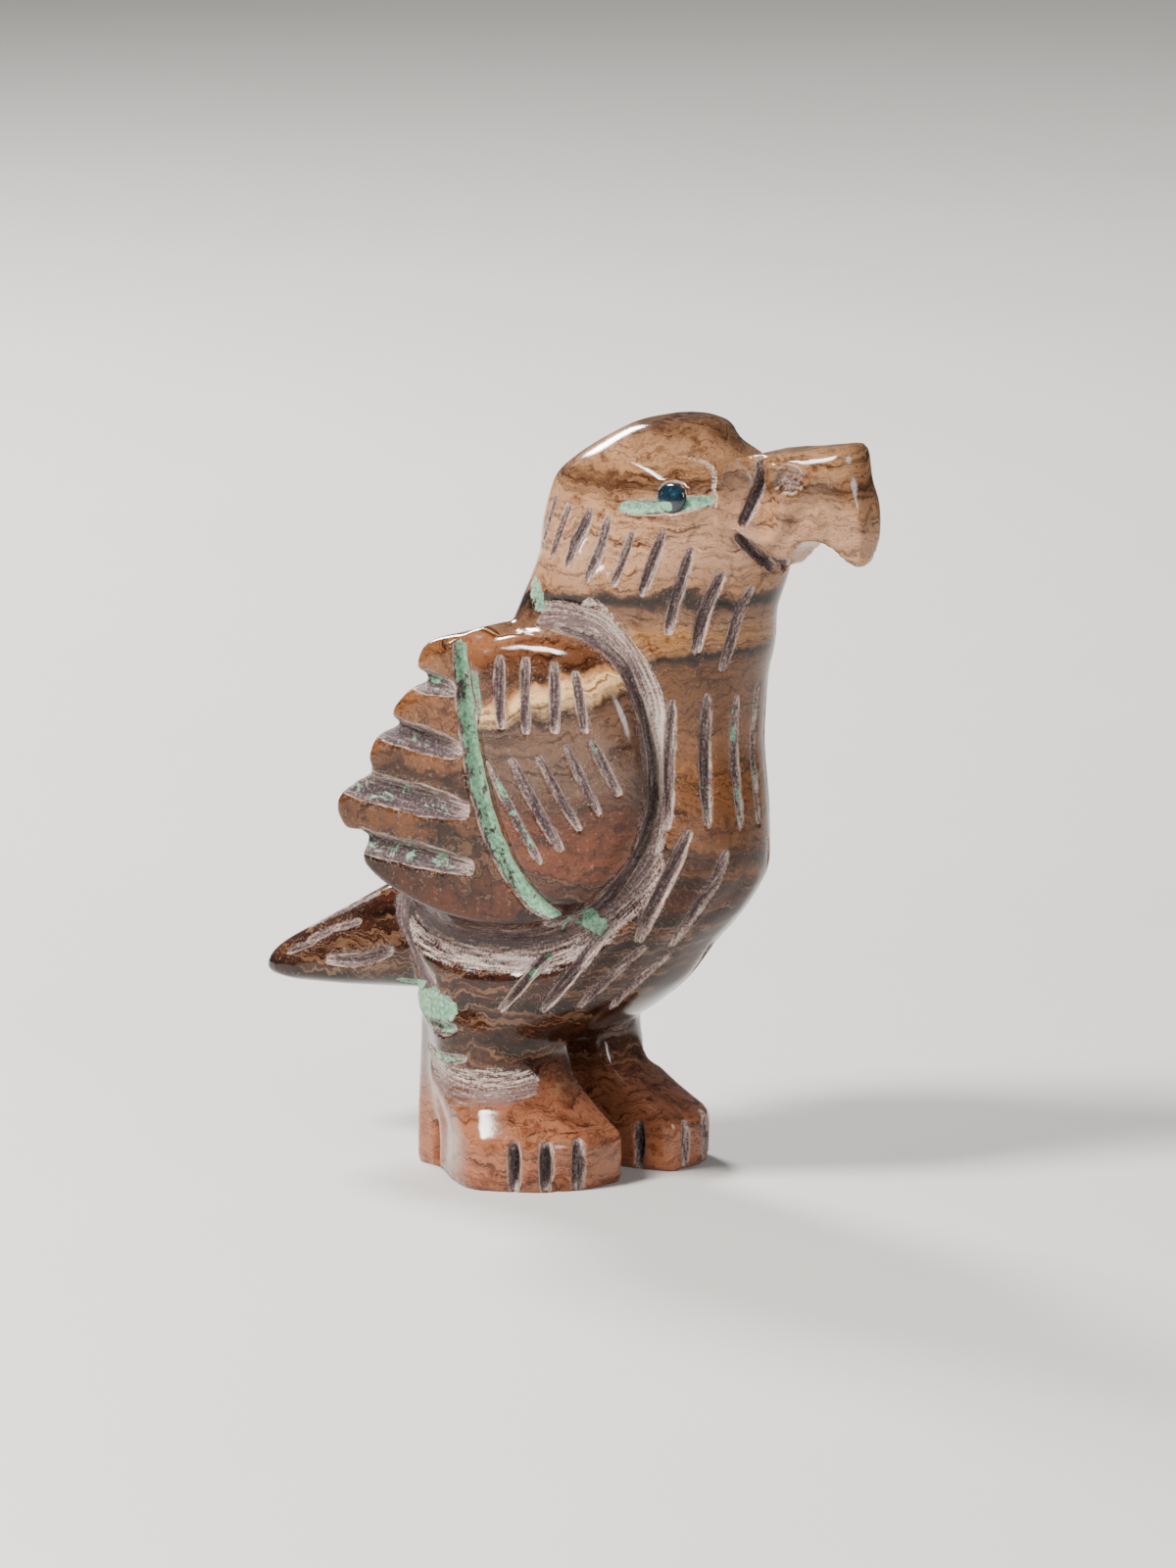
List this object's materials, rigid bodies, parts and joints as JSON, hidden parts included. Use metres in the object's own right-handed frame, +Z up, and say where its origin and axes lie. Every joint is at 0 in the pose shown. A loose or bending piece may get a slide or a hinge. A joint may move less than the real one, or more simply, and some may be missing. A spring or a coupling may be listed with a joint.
{
  "type": "carved stone eagle figurine",
  "caption": "Small standing eagle carved from one block of banded stone, with a hooked beak, folded wings, a wedge tail and round dark stones inlaid as eyes.",
  "frame": {"origin": "on the ground, under the middle of the figure's box", "axes": "+Z up, +X the way the beak points, +Y towards the bird's left wing"},
  "size_m": [0.0508, 0.0236, 0.056],
  "materials": {
    "banded_stone": "polished, with raw matt wheel cuts",
    "eye_stone": "polished"
  },
  "bodies": {
    "root": {"eagle_body": "banded_stone", "eye_left": "eye_stone", "eye_right": "eye_stone"}
  },
  "joints": []
}
